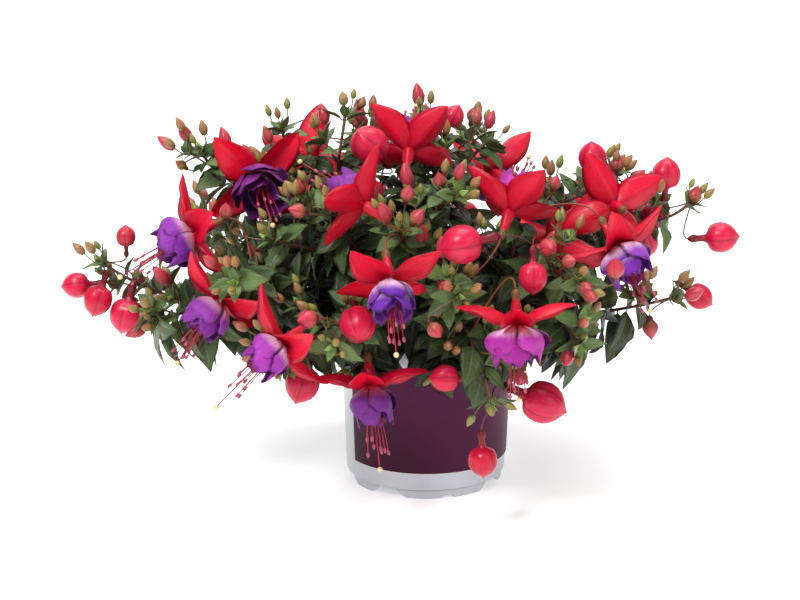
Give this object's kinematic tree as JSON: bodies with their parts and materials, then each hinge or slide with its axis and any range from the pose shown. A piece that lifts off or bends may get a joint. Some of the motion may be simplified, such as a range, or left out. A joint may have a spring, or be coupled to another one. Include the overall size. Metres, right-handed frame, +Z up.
{
  "type": "potted trailing fuchsia",
  "caption": "Bushy trailing fuchsia in a standing white plastic nursery pot with a plain printed wrap; red buds and double flowers of red sepals over violet petals.",
  "frame": {"origin": "on the ground under the middle of the whole plant's box; the pot's own axis stands at x = 0.0175, y = 0.0085", "axes": "+Z up, -Y towards the viewer, the side of the plant that the picture shows; the plant's longest reach is along X"},
  "size_m": [0.461, 0.3426, 0.2676],
  "materials": {
    "pot": "white moulded plastic, satin",
    "label_wrap": "deep aubergine printed film, satin",
    "compost": "dark crumbly peat-like compost, matte",
    "crown": "brown bark, matte",
    "foliage": "dark green leaves on reddish stems, satin",
    "buds": "pinkish red, satin",
    "sepals": "bright red, satin, waxy",
    "corolla": "violet petals, soft satin"
  },
  "bodies": {
    "root": {"bloom_01_calyx": "sepals", "bloom_01_corolla": "corolla", "bloom_02_calyx": "sepals", "bloom_02_corolla": "corolla", "bloom_03_calyx": "sepals", "bloom_03_corolla": "corolla", "bloom_04_calyx": "sepals", "bloom_04_corolla": "corolla", "bloom_05_calyx": "sepals", "bloom_05_corolla": "corolla", "bloom_06_calyx": "sepals", "bloom_06_corolla": "corolla", "bloom_07_calyx": "sepals", "bloom_07_corolla": "corolla", "bloom_08_calyx": "sepals", "bloom_08_corolla": "corolla", "bloom_09_calyx": "sepals", "bloom_09_corolla": "corolla", "bloom_10_calyx": "sepals", "bloom_10_corolla": "corolla", "bloom_11_calyx": "sepals", "bloom_11_corolla": "corolla", "bloom_12_calyx": "sepals", "bloom_12_corolla": "corolla", "bloom_13_calyx": "sepals", "bloom_13_corolla": "corolla", "bloom_14_calyx": "sepals", "bloom_14_corolla": "corolla", "bloom_15_calyx": "sepals", "bloom_15_corolla": "corolla", "bloom_16_calyx": "sepals", "bloom_16_corolla": "corolla", "buds_back": "buds", "buds_front_left": "buds", "buds_front_right": "buds", "buds_front_right_low": "buds", "buds_left": "buds", "buds_left_up_top": "buds", "buds_right_front": "buds", "buds_right_mid": "buds", "buds_right_top": "buds", "buds_right_top_up": "buds", "compost": "compost", "crown": "crown", "label_wrap": "label_wrap", "pot": "pot", "shoot_back": "foliage", "shoot_back_left": "foliage", "shoot_back_right": "foliage", "shoot_back_top": "foliage", "shoot_front_left": "foliage", "shoot_front_left_up": "foliage", "shoot_front_right": "foliage", "shoot_front_top": "foliage", "shoot_left": "foliage", "shoot_left_up": "foliage", "shoot_right_front": "foliage", "shoot_right_mid": "foliage", "shoot_right_top": "foliage", "shoot_top": "foliage"}
  },
  "joints": []
}
